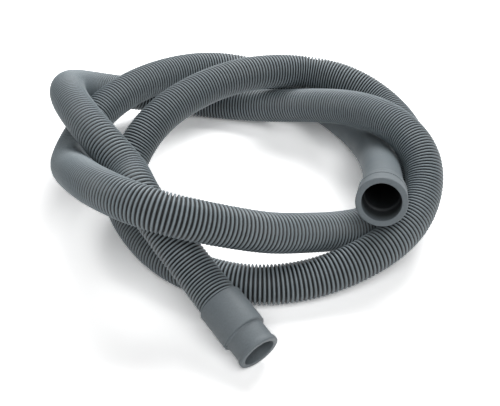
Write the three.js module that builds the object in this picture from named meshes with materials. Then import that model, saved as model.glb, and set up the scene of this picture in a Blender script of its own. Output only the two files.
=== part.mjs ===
// Washing machine drain hose: one long corrugated pipe laid down in loose loops,
// with a straight cuff on one end and an elbow cuff on the other.
// Millimetres, +Z up. The floor is z = 0, and the origin is the middle of the floor area under the hose.
import * as THREE from "three";
import { NURBSCurve } from "three/addons/curves/NURBSCurve.js";
import { mergeVertices } from "three/addons/utils/BufferGeometryUtils.js";

// Fits
const SEAT_GAP = 0.3; // between the hose and the cuff that holds it
const FLOOR_GAP = 0.1; // between the resting lip and the floor

// Corrugated hose, drawn as a plain pipe over its crests
const HOSE_DIAMETER = 28;
const HOSE_WALL = 3; // from the crests to the bore, which the grooves reach into
const HOSE_SIDES = 12; // an even number
const HOSE_STEPS = 80;

// Straight cuff
const LIP_LENGTH = 2.4;
const LIP_DIAMETER = 28.8;
const LIP_FLARE_LENGTH = 2.2; // the taper behind the lip
const SPOUT_LENGTH = 11.4; // from the flare to the step
const SPOUT_DIAMETER = 27;
const SPOUT_BORE = 21.6;
const SLEEVE_LENGTH = 27;
const SLEEVE_WALL = 1.1; // around the hose's seat
const SLEEVE_HOLD = 23; // how far the hose goes into the sleeve
const STRAIGHT_MOUTH_X = 13;
const STRAIGHT_MOUTH_Y = -162;
const STRAIGHT_HEADING = -52.4; // degrees from +X, seen from above, of the axis that leaves the mouth
const STRAIGHT_DIP = 16.1; // degrees that the same axis points down

// Elbow cuff
const COLLAR_LENGTH = 12.2; // from the mouth to the groove
const COLLAR_DIAMETER = 35.6; // at the mouth
const COLLAR_TAPER = 1.3; // diameter that the collar loses towards the groove
const COLLAR_BORE = 27.1;
const COLLAR_BORE_DEPTH = 17.5;
const THROAT_LENGTH = 1.5; // the step from the collar's bore to the elbow's bore
const GROOVE_LENGTH = 1.2;
const GROOVE_DEPTH = 0.9;
const SHOULDER_START = 18; // from the mouth: the collar ends here and the shoulder begins
const SHOULDER_LENGTH = 8;
const NECK_DIAMETER = 29.6;
const NECK_TAPER_LENGTH = 24;
const ELBOW_DIAMETER = 28.4;
const ELBOW_BORE = 24;
const SOCKET_LENGTH = 15;
const SOCKET_WALL = 1.5; // around the hose's seat
const SOCKET_HOLD = 13; // how far the hose goes into the socket
const ELBOW_MOUTH = [95, -71, 62.5];
const ELBOW_HEADING = -99.6;
const ELBOW_TILT = 15; // degrees that the mouth points up
const ELBOW_NECK_STRAIGHT = 16; // straight stretches at the two ends of the elbow
const ELBOW_SOCKET_STRAIGHT = 24;
const SOCKET_END = [61, 137, 18.5];
const SOCKET_HEADING = -48; // of the axis that runs from the hose into the elbow
const SOCKET_TILT = -6;
const NECK_HANDLE = 26; // handles of the curve between the two straight stretches
const SOCKET_HANDLE = 66;

// Small roundings and the fineness of turned surfaces
const CUFF_SIDES = 34;
const EDGE_ROUND = 1.1;
const BORE_ROUND = 0.7;
const SLEEVE_BEVEL = 0.6;
const GROOVE_ROUND = 0.4;
const SHOULDER_ROUND = 2.5;
const FILLET_STEPS = 3;
const RING_SPACING = 9; // rings along the curved stretch of the elbow

// Route of the hose: control points of a cubic spline, from the straight cuff to the elbow cuff
const LEAD_OUT = 2; // the hose stays straight this far outside each cuff
const LEAD_LENGTH = 24; // and bends away gently over this length
const ROUTE = [
  [-71, -65, 69],
  [-72, -43, 63],
  [-107, -7, 80],
  [-143, 66, 75],
  [-128, 123, 37],
  [-56, 147, 12],
  [16, 130, 14],
  [70, 86, 44],
  [109, 42, 63],
  [136, 2, 55],
  [134, -28, 35],
  [111, -68, 25],
  [51, -97, 13],
  [-3, -103, 15],
  [-51, -77, 13],
  [-83, -36, 23],
  [-92, 4, 25],
  [-70, 46, 59],
  [-7, 105, 63],
  [52, 137, 47],
  [91, 116, 48],
  [120, 98, 35],
  [139, 56, 28],
  [133, -9, 12],
  [85, -44, 16],
  [42, -73, 38],
  [22, -85, 47],
  [-1, -96, 60],
  [-53, -110, 84],
  [-98, -74, 79],
  [-119, -25, 57],
  [-135, 20, 31],
  [-109, 85, 56],
  [-29, 163, 43],
];

const HOSE_COLOR = 0x757b7e;
const CUFF_COLOR = 0x6d7477;

function vector([x, y, z]) {
  return new THREE.Vector3(x, y, z);
}

// Unit vector of a heading seen from above and a tilt above the horizontal, both in degrees
function direction(heading, tilt) {
  const azimuth = THREE.MathUtils.degToRad(heading);
  const elevation = THREE.MathUtils.degToRad(tilt);
  return new THREE.Vector3(
    Math.cos(elevation) * Math.cos(azimuth),
    Math.cos(elevation) * Math.sin(azimuth),
    Math.sin(elevation),
  );
}

function offset(start, unit, distance) {
  return start.clone().addScaledVector(unit, distance);
}

// Closed outline through [radius, distance along the axis, rounding] corners
function roundedOutline(corners) {
  const points = corners.map(([radius, distance]) => new THREE.Vector2(radius, distance));
  const path = new THREE.Path();
  points.forEach((corner, i) => {
    const rounding = corners[i][2] ?? 0;
    const before = points.at(i - 1);
    const after = points[(i + 1) % points.length];
    const entry = corner.clone().add(before.clone().sub(corner).setLength(rounding));
    if (i === 0) path.moveTo(entry.x, entry.y);
    else path.lineTo(entry.x, entry.y);
    if (rounding > 0) {
      const exit = corner.clone().add(after.clone().sub(corner).setLength(rounding));
      path.quadraticCurveTo(corner.x, corner.y, exit.x, exit.y);
    }
  });
  path.closePath();
  return path.getPoints(FILLET_STEPS);
}

// Splits the long edges of an outline, so that it can bend with its axis
function withRings(outline, spacing) {
  const split = [];
  for (let i = 0; i + 1 < outline.length; i++) {
    const pieces = Math.ceil(Math.abs(outline[i + 1].y - outline[i].y) / spacing) || 1;
    for (let k = 0; k < pieces; k++) {
      split.push(outline[i].clone().lerp(outline[i + 1], k / pieces));
    }
  }
  split.push(outline[0].clone());
  return split;
}

// Turns an outline about +Y and lays it along an axis curve that starts at the mouth
function turnedAlong(axis, outline) {
  const turned = new THREE.LatheGeometry(outline, CUFF_SIDES);
  const length = axis.getLength();
  const corners = turned.getAttribute("position");
  const up = new THREE.Vector3(0, 0, 1);
  const local = new THREE.Vector3();
  for (let i = 0; i < corners.count; i++) {
    local.fromBufferAttribute(corners, i);
    const share = THREE.MathUtils.clamp(local.y / length, 0, 1);
    const centre = axis.getPointAt(share);
    const tangent = axis.getTangentAt(share);
    const side = tangent.clone().cross(up).normalize();
    const top = side.clone().cross(tangent);
    centre.addScaledVector(side, local.x).addScaledVector(top, local.z);
    corners.setXYZ(i, centre.x, centre.y, centre.z);
  }
  return asSolid(turned);
}

// Joins the seam of a turned surface and works its normals out again
function asSolid(geometry) {
  geometry.deleteAttribute("uv");
  geometry.deleteAttribute("normal");
  const solid = mergeVertices(geometry, 1e-4);
  solid.computeVertexNormals();
  return solid;
}

// Axis of the straight cuff, from its mouth to the end that holds the hose
function straightCuffAxis() {
  const outward = direction(STRAIGHT_HEADING, -STRAIGHT_DIP);
  const lipRise = (LIP_DIAMETER / 2) * Math.cos(THREE.MathUtils.degToRad(STRAIGHT_DIP));
  const mouth = new THREE.Vector3(STRAIGHT_MOUTH_X, STRAIGHT_MOUTH_Y, lipRise + FLOOR_GAP);
  const length = LIP_LENGTH + LIP_FLARE_LENGTH + SPOUT_LENGTH + SLEEVE_LENGTH;
  return new THREE.LineCurve3(mouth, offset(mouth, outward, -length));
}

// Axis of the elbow: a straight neck behind the mouth, a curve, and a straight socket
function elbowAxis() {
  const mouth = vector(ELBOW_MOUTH);
  const inward = direction(ELBOW_HEADING, ELBOW_TILT).negate();
  const end = vector(SOCKET_END);
  const intoElbow = direction(SOCKET_HEADING, SOCKET_TILT);
  const neckEnd = offset(mouth, inward, ELBOW_NECK_STRAIGHT);
  const socketStart = offset(end, intoElbow, ELBOW_SOCKET_STRAIGHT);
  const axis = new THREE.CurvePath();
  axis.add(new THREE.LineCurve3(mouth, neckEnd));
  axis.add(
    new THREE.CubicBezierCurve3(
      neckEnd,
      offset(neckEnd, inward, NECK_HANDLE),
      offset(socketStart, intoElbow, SOCKET_HANDLE),
      socketStart,
    ),
  );
  axis.add(new THREE.LineCurve3(socketStart, end));
  return axis;
}

// Radius of the seat that a cuff has for the hose
function seatRadius() {
  return HOSE_DIAMETER / 2 + SEAT_GAP;
}

function straightCuff(axis) {
  const end = axis.getLength();
  const sleeve = seatRadius() + SLEEVE_WALL;
  const flare = LIP_LENGTH + LIP_FLARE_LENGTH;
  const step = flare + SPOUT_LENGTH;
  const seatEnd = end - SLEEVE_HOLD - SEAT_GAP;
  return turnedAlong(
    axis,
    roundedOutline([
      [SPOUT_BORE / 2, 0, BORE_ROUND],
      [LIP_DIAMETER / 2, 0, EDGE_ROUND],
      [LIP_DIAMETER / 2, LIP_LENGTH, BORE_ROUND],
      [SPOUT_DIAMETER / 2, flare, BORE_ROUND],
      [SPOUT_DIAMETER / 2, step],
      [sleeve, step, EDGE_ROUND],
      [sleeve, end, SLEEVE_BEVEL],
      [seatRadius(), end],
      [seatRadius(), seatEnd],
      [SPOUT_BORE / 2, seatEnd],
    ]),
  );
}

function elbowCuff(axis) {
  const end = axis.getLength();
  const grooveEnd = COLLAR_LENGTH + GROOVE_LENGTH;
  const collarBack = (COLLAR_DIAMETER - COLLAR_TAPER) / 2;
  const neck = SHOULDER_START + SHOULDER_LENGTH;
  const socketStart = end - SOCKET_LENGTH;
  const socket = seatRadius() + SOCKET_WALL;
  const seatEnd = end - SOCKET_HOLD - SEAT_GAP;
  const outline = roundedOutline([
    [COLLAR_BORE / 2, 0, BORE_ROUND],
    [COLLAR_DIAMETER / 2, 0, EDGE_ROUND],
    [collarBack, COLLAR_LENGTH, GROOVE_ROUND],
    [collarBack - GROOVE_DEPTH, COLLAR_LENGTH],
    [collarBack - GROOVE_DEPTH, grooveEnd],
    [collarBack, grooveEnd, GROOVE_ROUND],
    [collarBack, SHOULDER_START, SHOULDER_ROUND],
    [NECK_DIAMETER / 2, neck, SHOULDER_ROUND],
    [ELBOW_DIAMETER / 2, neck + NECK_TAPER_LENGTH],
    [ELBOW_DIAMETER / 2, socketStart],
    [socket, socketStart, EDGE_ROUND],
    [socket, end, SLEEVE_BEVEL],
    [seatRadius(), end],
    [seatRadius(), seatEnd],
    [ELBOW_BORE / 2, seatEnd],
    [ELBOW_BORE / 2, COLLAR_BORE_DEPTH + THROAT_LENGTH],
    [COLLAR_BORE / 2, COLLAR_BORE_DEPTH],
  ]);
  return turnedAlong(axis, withRings(outline, RING_SPACING));
}

// Straight line of the hose out of a cuff, from its end in the cuff to just outside
function leadLine(axis, hold) {
  const end = axis.getPointAt(1);
  const outOfCuff = axis.getTangentAt(1);
  return new THREE.LineCurve3(offset(end, outOfCuff, -hold), offset(end, outOfCuff, LEAD_OUT));
}

// Three control points in line with a lead, so that the spline leaves it straight
function leadPoints(lead) {
  const unit = lead.getTangent(0);
  return [0, LEAD_LENGTH / 3, LEAD_LENGTH].map((distance) => offset(lead.v2, unit, distance));
}

function hoseRoute(fromAxis, toAxis) {
  const first = leadLine(fromAxis, SLEEVE_HOLD);
  const last = leadLine(toAxis, SOCKET_HOLD);
  const points = [...leadPoints(first), ...ROUTE.map(vector), ...leadPoints(last).reverse()];
  const degree = 3;
  const spans = points.length - degree;
  const knots = points.map((_, i) => THREE.MathUtils.clamp(i - degree, 0, spans));
  while (knots.length < points.length + degree + 1) knots.push(spans);
  const weighted = points.map((point) => new THREE.Vector4(point.x, point.y, point.z, 1));
  const route = new THREE.CurvePath();
  route.add(first);
  route.add(new NURBSCurve(degree, knots, weighted));
  route.add(new THREE.LineCurve3(last.v2, last.v1));
  return route;
}

function corrugatedHose(route) {
  const ring = new THREE.Shape();
  ring.absarc(0, 0, HOSE_DIAMETER / 2, 0, 2 * Math.PI);
  const bore = new THREE.Path();
  bore.absarc(0, 0, HOSE_DIAMETER / 2 - HOSE_WALL, 0, 2 * Math.PI, true);
  ring.holes.push(bore);
  return new THREE.ExtrudeGeometry(ring, {
    extrudePath: route,
    steps: HOSE_STEPS,
    curveSegments: HOSE_SIDES / 2, // a full circle takes its segments twice
  });
}

function piece(name, geometry, color, roughness) {
  const material = new THREE.MeshStandardMaterial({ color, roughness, metalness: 0 });
  const mesh = new THREE.Mesh(geometry, material);
  mesh.name = name;
  return mesh;
}

const straightAxis = straightCuffAxis();
const bentAxis = elbowAxis();
const route = hoseRoute(straightAxis, bentAxis);

const drainHose = new THREE.Group();
drainHose.add(piece("corrugated_hose", corrugatedHose(route), HOSE_COLOR, 0.5));
drainHose.add(piece("straight_cuff", straightCuff(straightAxis), CUFF_COLOR, 0.45));
drainHose.add(piece("elbow_cuff", elbowCuff(bentAxis), CUFF_COLOR, 0.45));

export default drainHose;
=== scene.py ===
"""Washing machine drain hose: the ribbed hose, its two moulded cuffs and the light around them."""

import math

import bpy
import numpy as np
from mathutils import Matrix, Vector


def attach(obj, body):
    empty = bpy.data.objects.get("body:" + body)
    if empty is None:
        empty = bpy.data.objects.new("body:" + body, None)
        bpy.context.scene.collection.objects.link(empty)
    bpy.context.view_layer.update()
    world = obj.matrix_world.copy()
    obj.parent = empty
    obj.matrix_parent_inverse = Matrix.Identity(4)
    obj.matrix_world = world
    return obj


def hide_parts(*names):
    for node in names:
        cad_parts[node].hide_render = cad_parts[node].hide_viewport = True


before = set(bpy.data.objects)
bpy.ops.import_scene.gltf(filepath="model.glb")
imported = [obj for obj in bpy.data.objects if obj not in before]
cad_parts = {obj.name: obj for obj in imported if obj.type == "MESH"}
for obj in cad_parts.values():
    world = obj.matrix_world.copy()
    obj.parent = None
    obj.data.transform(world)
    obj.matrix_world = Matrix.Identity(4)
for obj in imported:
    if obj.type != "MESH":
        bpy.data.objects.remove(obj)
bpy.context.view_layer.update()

# Camera: the photograph's angle and framing
CAMERA_PLACE = (0.00708, -0.5680, 0.4405)
CAMERA_ELEVATION = 37.286
CAMERA_LENS = 67.29
SENSOR_WIDTH = 36
CAMERA_NEAR = 0.01
CAMERA_FAR = 50

camera = bpy.data.objects.new("camera", bpy.data.cameras.new("camera"))
camera.data.lens = CAMERA_LENS
camera.data.sensor_width = SENSOR_WIDTH
camera.data.clip_start = CAMERA_NEAR
camera.data.clip_end = CAMERA_FAR
camera.location = CAMERA_PLACE
camera.rotation_euler = (math.radians(90 - CAMERA_ELEVATION), 0, 0)
bpy.context.scene.collection.objects.link(camera)
bpy.context.scene.camera = camera

# Sizes in metres, as in the solids
SEAT_GAP = 0.0003
FLOOR_GAP = 0.0001
HOSE_RADIUS = 0.014
HOSE_BORE = 0.011
LIP_LENGTH = 0.0024
LIP_RADIUS = 0.0144
LIP_FLARE_LENGTH = 0.0022
SPOUT_LENGTH = 0.0114
SPOUT_RADIUS = 0.0135
SPOUT_BORE = 0.0108
SLEEVE_LENGTH = 0.027
SLEEVE_WALL = 0.0011
SLEEVE_HOLD = 0.023
STRAIGHT_MOUTH = (0.013, -0.162)
STRAIGHT_HEADING = -52.4
STRAIGHT_DIP = 16.1
COLLAR_LENGTH = 0.0122
COLLAR_RADIUS = 0.0178
COLLAR_TAPER = 0.00065
COLLAR_BORE = 0.01355
COLLAR_BORE_DEPTH = 0.0175
THROAT_LENGTH = 0.0015
GROOVE_LENGTH = 0.0012
GROOVE_DEPTH = 0.0009
SHOULDER_START = 0.018
SHOULDER_LENGTH = 0.008
NECK_RADIUS = 0.0148
NECK_TAPER_LENGTH = 0.024
ELBOW_RADIUS = 0.0142
ELBOW_BORE = 0.012
SOCKET_LENGTH = 0.015
SOCKET_WALL = 0.0015
SOCKET_HOLD = 0.013
ELBOW_MOUTH = (0.095, -0.071, 0.0625)
ELBOW_HEADING = -99.6
ELBOW_TILT = 15
ELBOW_NECK_STRAIGHT = 0.016
ELBOW_SOCKET_STRAIGHT = 0.024
SOCKET_END = (0.061, 0.137, 0.0185)
SOCKET_HEADING = -48
SOCKET_TILT = -6
NECK_HANDLE = 0.026
SOCKET_HANDLE = 0.066

# Roundings and fineness of the cuffs
EDGE_ROUND = 0.0011
BORE_ROUND = 0.0007
SLEEVE_BEVEL = 0.0006
GROOVE_ROUND = 0.0004
SHOULDER_ROUND = 0.0025
CUFF_SIDES = 96
FILLET_STEPS = 6
CUFF_RING_SPACING = 0.0015

# Painted shade of the elbow: its colour darkens inside the bore from near the mouth on, and in the
# groove
BORE_SHADE_START = 0.001
BORE_SHADE_LENGTH = 0.009
GROOVE_SHADE = 0.8

# Route of the hose, as in the solids: control points from the straight cuff to the elbow cuff
LEAD_OUT = 0.002
LEAD_LENGTH = 0.024
ROUTE = [
    (-0.071, -0.065, 0.069),
    (-0.072, -0.043, 0.063),
    (-0.107, -0.007, 0.080),
    (-0.143, 0.066, 0.075),
    (-0.128, 0.123, 0.037),
    (-0.056, 0.147, 0.012),
    (0.016, 0.130, 0.014),
    (0.070, 0.086, 0.044),
    (0.109, 0.042, 0.063),
    (0.136, 0.002, 0.055),
    (0.134, -0.028, 0.035),
    (0.111, -0.068, 0.025),
    (0.051, -0.097, 0.013),
    (-0.003, -0.103, 0.015),
    (-0.051, -0.077, 0.013),
    (-0.083, -0.036, 0.023),
    (-0.092, 0.004, 0.025),
    (-0.070, 0.046, 0.059),
    (-0.007, 0.105, 0.063),
    (0.052, 0.137, 0.047),
    (0.091, 0.116, 0.048),
    (0.120, 0.098, 0.035),
    (0.139, 0.056, 0.028),
    (0.133, -0.009, 0.012),
    (0.085, -0.044, 0.016),
    (0.042, -0.073, 0.038),
    (0.022, -0.085, 0.047),
    (-0.001, -0.096, 0.060),
    (-0.053, -0.110, 0.084),
    (-0.098, -0.074, 0.079),
    (-0.119, -0.025, 0.057),
    (-0.135, 0.020, 0.031),
    (-0.109, 0.085, 0.056),
    (-0.029, 0.163, 0.043),
]

# Length of one rib, by the distance along the hose: loose stretches have wider ribs
RIB_PITCHES = [
    (0.00, 0.0025),
    (0.10, 0.0026),
    (0.15, 0.0031),
    (0.19, 0.0029),
    (0.38, 0.0027),
    (0.48, 0.0029),
    (0.55, 0.0027),
    (0.60, 0.0022),
    (0.66, 0.0022),
    (0.70, 0.0027),
    (0.78, 0.0030),
    (0.84, 0.0028),
    (0.92, 0.0026),
    (1.01, 0.0024),
    (1.05, 0.0022),
    (1.10, 0.0025),
    (1.16, 0.0029),
    (1.22, 0.0025),
    (1.26, 0.0022),
    (1.33, 0.0022),
    (1.37, 0.0026),
    (1.50, 0.0032),
    (1.56, 0.0029),
    (1.62, 0.0025),
    (1.90, 0.0026),
    (2.02, 0.0028),
]
# Ribs of the hose: depth at shares of one rib, from the groove on
RIB_DEPTH = 0.0022
CREST_DROP = 0.0004
RIB_PROFILE = [(0.08, RIB_DEPTH), (0.26, CREST_DROP), (0.5, 0.0), (0.74, CREST_DROP), (0.92, RIB_DEPTH)]
FIRST_RIB = -0.0016  # so that a groove lies just outside the sleeve's edge
HOSE_SIDES = 24
LINING_SPACING = 0.012
CORD_POINT_SPACING = 0.006

CURVE_STEP = 0.0002  # between the points that a smooth curve is measured by
SPLINE_DEGREE = 3


def direction(heading, tilt):
    """Unit vector of a heading seen from above and a tilt above the horizontal, in degrees."""
    azimuth, elevation = math.radians(heading), math.radians(tilt)
    flat = math.cos(elevation)
    return np.array([flat * math.cos(azimuth), flat * math.sin(azimuth), math.sin(elevation)])


def line_points(start, end):
    steps = max(2, int(np.linalg.norm(end - start) / CURVE_STEP))
    return start + np.linspace(0, 1, steps + 1)[:, None] * (end - start)


def bezier_points(p0, p1, p2, p3):
    """Points along a cubic Bezier curve, close enough for one up to twice as long as its chord."""
    steps = int(2 * np.linalg.norm(p3 - p0) / CURVE_STEP)
    t = np.linspace(0, 1, steps + 1)[:, None]
    u = 1 - t
    return u**3 * p0 + 3 * u * u * t * p1 + 3 * u * t * t * p2 + t**3 * p3


def spline_points(control):
    """Points along the clamped uniform cubic spline of these control points."""
    control = np.asarray(control, float)
    count = len(control)
    spans = count - SPLINE_DEGREE
    knots = np.clip(np.arange(count + SPLINE_DEGREE + 1) - SPLINE_DEGREE, 0, spans).astype(float)
    reach = np.linalg.norm(np.diff(control, axis=0), axis=1).sum()
    places = np.linspace(0, spans, int(reach / CURVE_STEP))
    span = np.clip(places.astype(int), 0, spans - 1) + SPLINE_DEGREE
    points = [control[span - SPLINE_DEGREE + k] for k in range(SPLINE_DEGREE + 1)]
    for level in range(1, SPLINE_DEGREE + 1):
        for k in range(SPLINE_DEGREE, level - 1, -1):
            first = span - SPLINE_DEGREE + k
            low, high = knots[first], knots[first + SPLINE_DEGREE + 1 - level]
            share = ((places - low) / (high - low))[:, None]
            points[k] = (1 - share) * points[k - 1] + share * points[k]
    return points[SPLINE_DEGREE]


class Axis:
    """A smooth line that surfaces are laid along, read by the distance from its start."""

    def __init__(self, *stretches):
        self.points = np.concatenate([stretches[0]] + [stretch[1:] for stretch in stretches[1:]])
        steps = np.linalg.norm(np.diff(self.points, axis=0), axis=1)
        self.places = np.concatenate([[0], np.cumsum(steps)])
        self.length = self.places[-1]
        self.tangents = np.gradient(self.points, self.places, axis=0)

    def at(self, places):
        """Centres and the two directions across the line, at these distances."""
        centres = np.stack([np.interp(places, self.places, self.points[:, k]) for k in range(3)], 1)
        along = np.stack([np.interp(places, self.places, self.tangents[:, k]) for k in range(3)], 1)
        along /= np.linalg.norm(along, axis=1)[:, None]
        side = np.cross(along, [0, 0, 1])
        side /= np.linalg.norm(side, axis=1)[:, None]
        return centres, side, np.cross(side, along)


def straight_axis():
    outward = direction(STRAIGHT_HEADING, -STRAIGHT_DIP)
    rise = LIP_RADIUS * math.cos(math.radians(STRAIGHT_DIP)) + FLOOR_GAP
    mouth = np.array([*STRAIGHT_MOUTH, rise])
    length = LIP_LENGTH + LIP_FLARE_LENGTH + SPOUT_LENGTH + SLEEVE_LENGTH
    return Axis(line_points(mouth, mouth - length * outward)), -outward


def elbow_axis():
    inward = -direction(ELBOW_HEADING, ELBOW_TILT)
    into_elbow = direction(SOCKET_HEADING, SOCKET_TILT)
    mouth, end = np.array(ELBOW_MOUTH), np.array(SOCKET_END)
    neck_end = mouth + ELBOW_NECK_STRAIGHT * inward
    socket_start = end + ELBOW_SOCKET_STRAIGHT * into_elbow
    bend = bezier_points(
        neck_end,
        neck_end + NECK_HANDLE * inward,
        socket_start + SOCKET_HANDLE * into_elbow,
        socket_start,
    )
    return Axis(line_points(mouth, neck_end), bend, line_points(socket_start, end)), -into_elbow


def hose_axis(from_cuff, out_of_first, to_cuff, out_of_last):
    """Axis of the hose and the stretch of it that is free of both cuffs."""
    leads = []
    for cuff, out, hold in ((from_cuff, out_of_first, SLEEVE_HOLD), (to_cuff, out_of_last, SOCKET_HOLD)):
        end = cuff.points[-1]
        near, far = end - hold * out, end + LEAD_OUT * out
        inline = [far + reach * out for reach in (0, LEAD_LENGTH / 3, LEAD_LENGTH)]
        leads.append((near, far, inline))
    (first_near, first_far, first_inline), (last_near, last_far, last_inline) = leads
    control = first_inline + [np.array(point) for point in ROUTE] + last_inline[::-1]
    return Axis(
        line_points(first_near, first_far), spline_points(control), line_points(last_far, last_near)
    )


def rounded_outline(corners):
    """Outline through (radius, place along the axis, rounding) corners, with its corners rounded."""
    points = [np.array(corner[:2], float) for corner in corners]
    outline = []
    for i, corner in enumerate(points):
        rounding = corners[i][2] if len(corners[i]) > 2 else 0
        if rounding == 0:
            outline.append(corner)
            continue
        before, after = points[i - 1] - corner, points[(i + 1) % len(points)] - corner
        entry = corner + rounding * before / np.linalg.norm(before)
        leave = corner + rounding * after / np.linalg.norm(after)
        for step in range(FILLET_STEPS + 1):
            t = step / FILLET_STEPS
            outline.append((1 - t) ** 2 * entry + 2 * t * (1 - t) * corner + t * t * leave)
    return outline


def with_rings(outline, spacing):
    """The same closed outline, with its long edges split."""
    split = []
    for start, end in zip(outline, outline[1:] + outline[:1]):
        pieces = max(1, math.ceil(abs(end[1] - start[1]) / spacing))
        split += [start + (end - start) * k / pieces for k in range(pieces)]
    return split


def turned_along(name, axis, outline, sides):
    """A mesh of a closed outline turned around an axis."""
    radii, places = np.array(outline).T
    centres, side, top = axis.at(places)
    angles = np.arange(sides) * 2 * math.pi / sides
    around = side[:, None] * np.cos(angles)[None, :, None] + top[:, None] * np.sin(angles)[None, :, None]
    vertices = (centres[:, None] + radii[:, None, None] * around).reshape(-1, 3)
    rings = len(outline)
    ring = np.arange(rings)[:, None]
    next_ring = (ring + 1) % rings
    turn = np.arange(sides)[None, :]
    next_turn = (turn + 1) % sides
    corners = [
        ring * sides + turn,
        ring * sides + next_turn,
        next_ring * sides + next_turn,
        next_ring * sides + turn,
    ]
    faces = np.stack(corners, -1).reshape(-1, 4)
    mesh = bpy.data.meshes.new(name)
    mesh.from_pydata(vertices.tolist(), [], faces.tolist())
    mesh.polygons.foreach_set("use_smooth", np.ones(len(faces), bool))
    mesh.update()
    piece = bpy.data.objects.new(name, mesh)
    bpy.context.scene.collection.objects.link(piece)
    return piece


def store(piece, name, values):
    """Keeps one number for each vertex, for the material to read."""
    attribute = piece.data.attributes.new(name, "FLOAT", "POINT")
    attribute.data.foreach_set("value", np.asarray(values, np.float32))


def hose_outline(length):
    """Outline of the ribbed wall outside and the plain lining inside."""
    reaches, pitches = zip(*RIB_PITCHES)
    start = FIRST_RIB
    outer = []
    while start < length:
        pitch = np.interp(start, reaches, pitches)
        for share, drop in RIB_PROFILE:
            place = start + share * pitch
            if 0 < place < length:
                outer.append((HOSE_RADIUS - drop, place))
        start += pitch
    rings = int(length / LINING_SPACING)
    inner = [(HOSE_BORE, length * (1 - k / rings)) for k in range(rings + 1)]
    edge = HOSE_RADIUS - RIB_DEPTH
    return [(edge, 0.0), *outer, (edge, length), *inner]


def straight_outline(end):
    flare = LIP_LENGTH + LIP_FLARE_LENGTH
    step = flare + SPOUT_LENGTH
    seat = HOSE_RADIUS + SEAT_GAP
    seat_end = end - SLEEVE_HOLD - SEAT_GAP
    sleeve = seat + SLEEVE_WALL
    return rounded_outline(
        [
            (SPOUT_BORE, 0, BORE_ROUND),
            (LIP_RADIUS, 0, EDGE_ROUND),
            (LIP_RADIUS, LIP_LENGTH, BORE_ROUND),
            (SPOUT_RADIUS, flare, BORE_ROUND),
            (SPOUT_RADIUS, step),
            (sleeve, step, EDGE_ROUND),
            (sleeve, end, SLEEVE_BEVEL),
            (seat, end),
            (seat, seat_end),
            (SPOUT_BORE, seat_end),
        ]
    )


def elbow_outline(end):
    groove_end = COLLAR_LENGTH + GROOVE_LENGTH
    back = COLLAR_RADIUS - COLLAR_TAPER
    neck = SHOULDER_START + SHOULDER_LENGTH
    socket_start = end - SOCKET_LENGTH
    seat = HOSE_RADIUS + SEAT_GAP
    seat_end = end - SOCKET_HOLD - SEAT_GAP
    socket = seat + SOCKET_WALL
    return rounded_outline(
        [
            (COLLAR_BORE, 0, BORE_ROUND),
            (COLLAR_RADIUS, 0, EDGE_ROUND),
            (back, COLLAR_LENGTH, GROOVE_ROUND),
            (back - GROOVE_DEPTH, COLLAR_LENGTH),
            (back - GROOVE_DEPTH, groove_end),
            (back, groove_end, GROOVE_ROUND),
            (back, SHOULDER_START, SHOULDER_ROUND),
            (NECK_RADIUS, neck, SHOULDER_ROUND),
            (ELBOW_RADIUS, neck + NECK_TAPER_LENGTH),
            (ELBOW_RADIUS, socket_start),
            (socket, socket_start, EDGE_ROUND),
            (socket, end, SLEEVE_BEVEL),
            (seat, end),
            (seat, seat_end),
            (ELBOW_BORE, seat_end),
            (ELBOW_BORE, COLLAR_BORE_DEPTH + THROAT_LENGTH),
            (COLLAR_BORE, COLLAR_BORE_DEPTH),
        ]
    )


def elbow_shade_depth(radius, place):
    """How deep a ring of the elbow seems, for the painted shade in its bore and groove."""
    if radius <= COLLAR_BORE:
        return (place - BORE_SHADE_START) / BORE_SHADE_LENGTH
    groove_end = COLLAR_LENGTH + GROOVE_LENGTH
    groove_floor = COLLAR_RADIUS - COLLAR_TAPER - GROOVE_DEPTH
    in_groove = COLLAR_LENGTH <= place <= groove_end and radius <= groove_floor
    return GROOVE_SHADE if in_groove else 0


# Pieces
cuff_axis, out_of_cuff = straight_axis()
bent_axis, out_of_elbow = elbow_axis()
route = hose_axis(cuff_axis, out_of_cuff, bent_axis, out_of_elbow)

hose_rings = hose_outline(route.length)
hose = turned_along("ribbed_hose", route, hose_rings, HOSE_SIDES)
# Depth of each ring into its rib, which the hose's material turns into a painted shade in the grooves
depths = np.array([(HOSE_RADIUS - radius) / RIB_DEPTH for radius, _ in hose_rings])
store(hose, "depth", np.repeat(np.clip(depths, 0, 1), HOSE_SIDES))

straight_rings = with_rings(straight_outline(cuff_axis.length), CUFF_RING_SPACING)
straight = turned_along("straight_end", cuff_axis, straight_rings, CUFF_SIDES)

elbow_rings = with_rings(elbow_outline(bent_axis.length), CUFF_RING_SPACING)
elbow = turned_along("elbow_end", bent_axis, elbow_rings, CUFF_SIDES)
# Painted shade for the elbow's bore and groove, kept at each ring
elbow_shade_depths = [elbow_shade_depth(radius, place) for radius, place in elbow_rings]
store(elbow, "depth", np.repeat(np.clip(elbow_shade_depths, 0, 1), CUFF_SIDES))


# Materials: the scale and the detail of each noise, and what they change
CLOUDS = (24, 3)
SPECKLE = (900, 2)
GRAIN = (1600, 2)
SHEEN = (60, 4)
NOISE_LOW = 0.3  # of the middle part of a noise that counts
NOISE_HIGH = 0.7
SPECKLE_SPREAD = 0.06
SHEEN_SPREAD = 0.05
GRAIN_HEIGHT = 0.0001
PLASTIC_GLOSS = 0.5


def new_material(name):
    material = bpy.data.materials.new(name)
    material.use_nodes = True
    material.node_tree.nodes.clear()
    return material, material.node_tree.nodes, material.node_tree.links


def noise(nodes, links, where, scale, detail):
    node = nodes.new("ShaderNodeTexNoise")
    node.inputs["Scale"].default_value = scale
    node.inputs["Detail"].default_value = detail
    links.new(where, node.inputs["Vector"])
    return node.outputs["Fac"]


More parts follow.
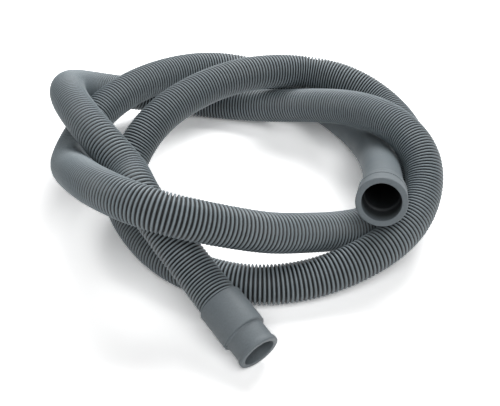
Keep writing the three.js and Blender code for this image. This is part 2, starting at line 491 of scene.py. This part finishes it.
def spread(nodes, links, value, low, high):
    """Maps the middle of a noise to a range."""
    node = nodes.new("ShaderNodeMapRange")
    node.inputs["From Min"].default_value = NOISE_LOW
    node.inputs["From Max"].default_value = NOISE_HIGH
    node.inputs["To Min"].default_value = low
    node.inputs["To Max"].default_value = high
    links.new(value, node.inputs["Value"])
    return node.outputs["Result"]


def multiply(nodes, links, color, factor):
    node = nodes.new("ShaderNodeVectorMath")
    node.operation = "SCALE"
    links.new(color, node.inputs[0])
    links.new(factor, node.inputs["Scale"])
    return node.outputs["Vector"]


def mixed(nodes, links, factor, first, second):
    node = nodes.new("ShaderNodeMix")
    node.data_type = "RGBA"
    links.new(factor, node.inputs["Factor"])
    node.inputs["A"].default_value = (*first, 1)
    node.inputs["B"].default_value = (*second, 1)
    return node.outputs["Result"]


def plastic(name, clean, dusty, rough, grain, shades):
    """Moulded grey plastic: cloudy colour, fine speckle, uneven sheen and a fine moulded grain.

    The shades are the depths where its painted shade starts and ends to darken the colour, and how dark
    it gets.
    """
    material, nodes, links = new_material(name)
    where = nodes.new("ShaderNodeTexCoord").outputs["Object"]
    clouds = noise(nodes, links, where, *CLOUDS)
    speckle = noise(nodes, links, where, *SPECKLE)
    color = mixed(nodes, links, spread(nodes, links, clouds, 0, 1), clean, dusty)
    flecks = spread(nodes, links, speckle, 1 - SPECKLE_SPREAD, 1 + SPECKLE_SPREAD)
    color = multiply(nodes, links, color, flecks)
    # Painted shade: the colour darkens with the depth stored at each vertex
    painted_shade_depth = nodes.new("ShaderNodeAttribute")
    painted_shade_depth.attribute_name = "depth"
    shade = nodes.new("ShaderNodeMapRange")
    shade.inputs["From Min"].default_value = shades[0]
    shade.inputs["From Max"].default_value = shades[1]
    shade.inputs["To Min"].default_value = 1.0
    shade.inputs["To Max"].default_value = shades[2]
    links.new(painted_shade_depth.outputs["Fac"], shade.inputs["Value"])
    color = multiply(nodes, links, color, shade.outputs["Result"])
    bump = nodes.new("ShaderNodeBump")
    bump.inputs["Strength"].default_value = grain
    bump.inputs["Distance"].default_value = GRAIN_HEIGHT
    links.new(noise(nodes, links, where, *GRAIN), bump.inputs["Height"])
    shader = nodes.new("ShaderNodeBsdfPrincipled")
    links.new(color, shader.inputs["Base Color"])
    sheen = noise(nodes, links, where, *SHEEN)
    sheen = spread(nodes, links, sheen, rough - SHEEN_SPREAD, rough + SHEEN_SPREAD)
    links.new(sheen, shader.inputs["Roughness"])
    links.new(bump.outputs["Normal"], shader.inputs["Normal"])
    shader.inputs["Specular IOR Level"].default_value = PLASTIC_GLOSS
    output = nodes.new("ShaderNodeOutputMaterial")
    links.new(shader.outputs["BSDF"], output.inputs["Surface"])
    return material


# Hose: the grooves get a painted shade, darkening the colour to 3 percent from half the rib's depth on
hose_material = plastic(
    "hose_plastic",
    clean=(0.255, 0.306, 0.335),
    dusty=(0.286, 0.332, 0.358),
    rough=0.5,
    grain=0.15,
    shades=(0, 0.5, 0.03),
)
# Cuffs: the elbow's bore and groove get a painted shade, down to 12 percent of the colour; the straight
# cuff has none
cuff_material = plastic(
    "cuff_plastic",
    clean=(0.150, 0.178, 0.195),
    dusty=(0.166, 0.192, 0.208),
    rough=0.55,
    grain=0.25,
    shades=(0, 1, 0.12),
)
hose.data.materials.append(hose_material)
straight.data.materials.append(cuff_material)
elbow.data.materials.append(cuff_material)

for piece, node, slot in (
    (hose, "corrugated_hose", "hose_plastic"),
    (straight, "straight_cuff", "cuff_plastic"),
    (elbow, "elbow_cuff", "cuff_plastic"),
):
    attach(piece, "root")
    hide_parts(node)

cord_places = np.linspace(0, route.length, int(route.length / CORD_POINT_SPACING))
cord_points, _, _ = route.at(cord_places)

# Floor, world and light
FLOOR_SIZE = 12
FLOOR_COLOR = 0.8
FLOOR_SEEN_COLOR = 1.7
FLOOR_LIFT = 0.12  # of the camera's view of the floor, towards white
WORLD_LIGHT = 0.03
WORLD_SEEN = 1.0


def seen_rays(nodes, links):
    """1 for what the camera sees, itself or in a gloss or through a clear piece."""
    path = nodes.new("ShaderNodeLightPath")
    total = path.outputs["Is Camera Ray"]
    for name in ("Is Glossy Ray", "Is Transmission Ray"):
        node = nodes.new("ShaderNodeMath")
        node.operation = "MAXIMUM"
        links.new(total, node.inputs[0])
        links.new(path.outputs[name], node.inputs[1])
        total = node.outputs["Value"]
    return total


floor_mesh = bpy.data.meshes.new("floor")
half = FLOOR_SIZE / 2
floor_corners = [(-half, -half, 0), (half, -half, 0), (half, half, 0), (-half, half, 0)]
floor_mesh.from_pydata(floor_corners, [], [(0, 1, 2, 3)])
floor = bpy.data.objects.new("floor", floor_mesh)
bpy.context.scene.collection.objects.link(floor)
floor_material, nodes, links = new_material("floor")
seen = seen_rays(nodes, links)
tone = nodes.new("ShaderNodeMapRange")
tone.inputs["To Min"].default_value = FLOOR_COLOR
tone.inputs["To Max"].default_value = FLOOR_SEEN_COLOR
links.new(seen, tone.inputs["Value"])
diffuse = nodes.new("ShaderNodeBsdfDiffuse")
links.new(tone.outputs["Result"], diffuse.inputs["Color"])
lift = nodes.new("ShaderNodeEmission")
strength = nodes.new("ShaderNodeMath")
strength.operation = "MULTIPLY"
strength.inputs[1].default_value = FLOOR_LIFT
links.new(seen, strength.inputs[0])
links.new(strength.outputs["Value"], lift.inputs["Strength"])
both = nodes.new("ShaderNodeAddShader")
links.new(diffuse.outputs["BSDF"], both.inputs[0])
links.new(lift.outputs["Emission"], both.inputs[1])
output = nodes.new("ShaderNodeOutputMaterial")
links.new(both.outputs["Shader"], output.inputs["Surface"])
floor.data.materials.append(floor_material)

world = bpy.data.worlds.new("world")
bpy.context.scene.world = world
world.use_nodes = True
nodes, links = world.node_tree.nodes, world.node_tree.links
nodes.clear()
background = nodes.new("ShaderNodeBackground")
brightness = nodes.new("ShaderNodeMapRange")
brightness.inputs["To Min"].default_value = WORLD_LIGHT
brightness.inputs["To Max"].default_value = WORLD_SEEN
links.new(seen_rays(nodes, links), brightness.inputs["Value"])
links.new(brightness.outputs["Result"], background.inputs["Strength"])
output = nodes.new("ShaderNodeOutputWorld")
links.new(background.outputs["Background"], output.inputs["Surface"])


def softbox(name, place, target, size, power):
    lamp = bpy.data.lights.new(name, "AREA")
    lamp.shape = "RECTANGLE"
    lamp.size, lamp.size_y = size
    lamp.energy = power
    holder = bpy.data.objects.new(name, lamp)
    holder.location = place
    holder.rotation_euler = (Vector(target) - Vector(place)).to_track_quat("-Z", "Y").to_euler()
    bpy.context.scene.collection.objects.link(holder)


LIGHT_TARGET = (0, 0, 0)
softbox("key", place=(0.16, 0.88, 1.0), target=LIGHT_TARGET, size=(1.3, 0.85), power=19)
softbox("fill", place=(0.15, -0.9, 1.1), target=LIGHT_TARGET, size=(1.4, 0.9), power=11)

bpy.context.scene.view_settings.view_transform = "Standard"
